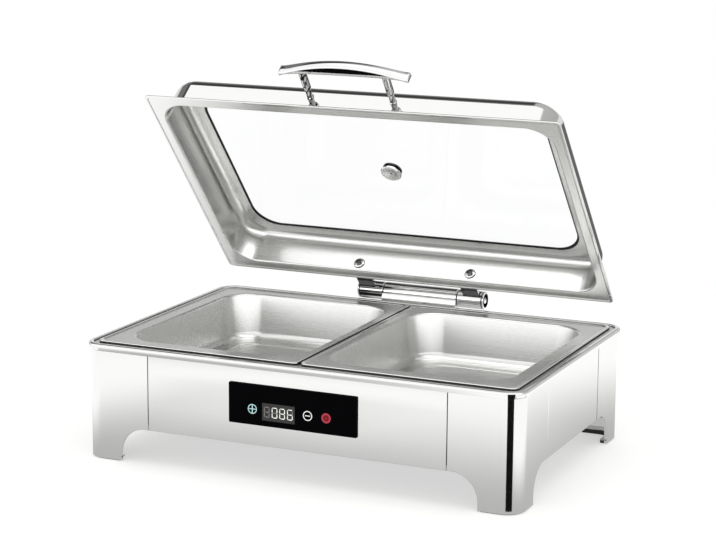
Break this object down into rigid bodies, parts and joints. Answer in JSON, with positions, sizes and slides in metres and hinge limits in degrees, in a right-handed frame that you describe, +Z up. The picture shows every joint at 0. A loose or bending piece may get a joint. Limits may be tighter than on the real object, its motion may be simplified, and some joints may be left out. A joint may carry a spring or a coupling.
{
  "type": "electric chafing dish",
  "caption": "Rectangular steel food warmer on corner legs, with lift-out food pans over a heated water pan, a touch panel and a hinged glazed lid.",
  "frame": {"origin": "on the ground under the middle of the outline, halfway between the base band's front edge and the hinge barrel's rear edge", "axes": "+X to the right when the touch panel is faced, +Y from the touch panel to the hinge, +Z up"},
  "size_m": [0.566, 0.406, 0.4868],
  "materials": {
    "brushed_steel": "fine brushed stainless steel",
    "polished_steel": "bright polished stainless steel",
    "satin_steel": "satin stainless steel",
    "chrome": "mirror chrome",
    "galvanized_steel": "dull zinc-coated steel",
    "aluminium": "rolled",
    "black_rubber": "matt",
    "black_plastic": "matt moulded",
    "white_plastic": "matt moulded",
    "black_glass": "glossy black printed on the back",
    "clear_glass": "clear toughened",
    "circuit_board": "green solder mask",
    "fibre": "matted white ceramic fibre",
    "brown_wire": "smooth brown insulation",
    "blue_wire": "smooth blue insulation",
    "grey_wire": "smooth grey insulation",
    "brass": "turned"
  },
  "bodies": {
    "base": {"leg_rear_right": "brushed_steel", "leg_rear_left": "brushed_steel", "leg_front_right": "brushed_steel", "leg_front_left": "brushed_steel", "foot_pad_rear_right": "black_rubber", "foot_pad_rear_left": "black_rubber", "foot_pad_front_right": "black_rubber", "foot_pad_front_left": "black_rubber", "front_panel": "brushed_steel", "rear_panel": "brushed_steel", "left_panel": "brushed_steel", "right_panel": "brushed_steel", "top_frame": "polished_steel", "bottom_cover": "galvanized_steel", "heater_plate": "aluminium", "heating_element": "galvanized_steel", "insulation_pad": "fibre", "heater_bracket_right": "galvanized_steel", "heater_bracket_left": "galvanized_steel", "thermal_cutout": "black_plastic", "temperature_probe": "brass", "touch_glass": "black_glass", "control_housing": "black_plastic", "control_board": "circuit_board", "display_module": "black_plastic", "inlet_socket": "black_plastic", "power_board": "circuit_board", "terminal_block": "white_plastic", "mains_lead_live": "brown_wire", "mains_lead_neutral": "blue_wire", "heater_lead": "brown_wire", "ribbon_cable": "grey_wire", "hinge_bracket": "polished_steel", "hinge_tube": "chrome", "hinge_damper": "galvanized_steel", "bracket_screw_left": "galvanized_steel", "bracket_screw_right": "galvanized_steel"},
    "water_pan": {"water_pan": "satin_steel"},
    "food_pan_left": {"food_pan_left": "satin_steel"},
    "food_pan_right": {"food_pan_right": "satin_steel"},
    "lid": {"lid_shell": "polished_steel", "glass_gasket": "black_rubber", "lid_glass": "clear_glass", "vent_body": "chrome", "handle_bar": "chrome", "handle_post_left": "chrome", "handle_post_right": "chrome", "hinge_washer_left": "chrome", "hinge_screw_left": "chrome", "handle_screw_left": "chrome", "hinge_washer_right": "chrome", "hinge_screw_right": "chrome", "handle_screw_right": "chrome", "hinge_arm_right": "chrome", "hinge_arm_left": "chrome", "hinge_cap_right": "chrome", "hinge_cap_left": "chrome", "hinge_axle": "galvanized_steel"},
    "vent_cap": {"vent_cap": "chrome"}
  },
  "joints": [
    {"name": "lid_hinge", "type": "hinge", "parent": "base", "child": "lid", "pos_m": [0, 0.191, 0.1522], "axis": [-1, 0, 0], "range_deg": [-48.3, 41.7]},
    {"name": "water_pan_lift", "type": "slide", "parent": "base", "child": "water_pan", "axis": [0, 0, 1], "range_m": [0, 0.018]},
    {"name": "food_pan_left_lift", "type": "slide", "parent": "water_pan", "child": "food_pan_left", "axis": [0, 0, 1], "range_m": [0, 0.03]},
    {"name": "food_pan_right_lift", "type": "slide", "parent": "water_pan", "child": "food_pan_right", "axis": [0, 0, 1], "range_m": [0, 0.03]},
    {"name": "vent_turn", "type": "hinge", "parent": "lid", "child": "vent_cap", "pos_m": [0, 0.0894, 0.3351], "axis": [0, 0.7466, 0.6652], "range_deg": [0, 90]}
  ]
}
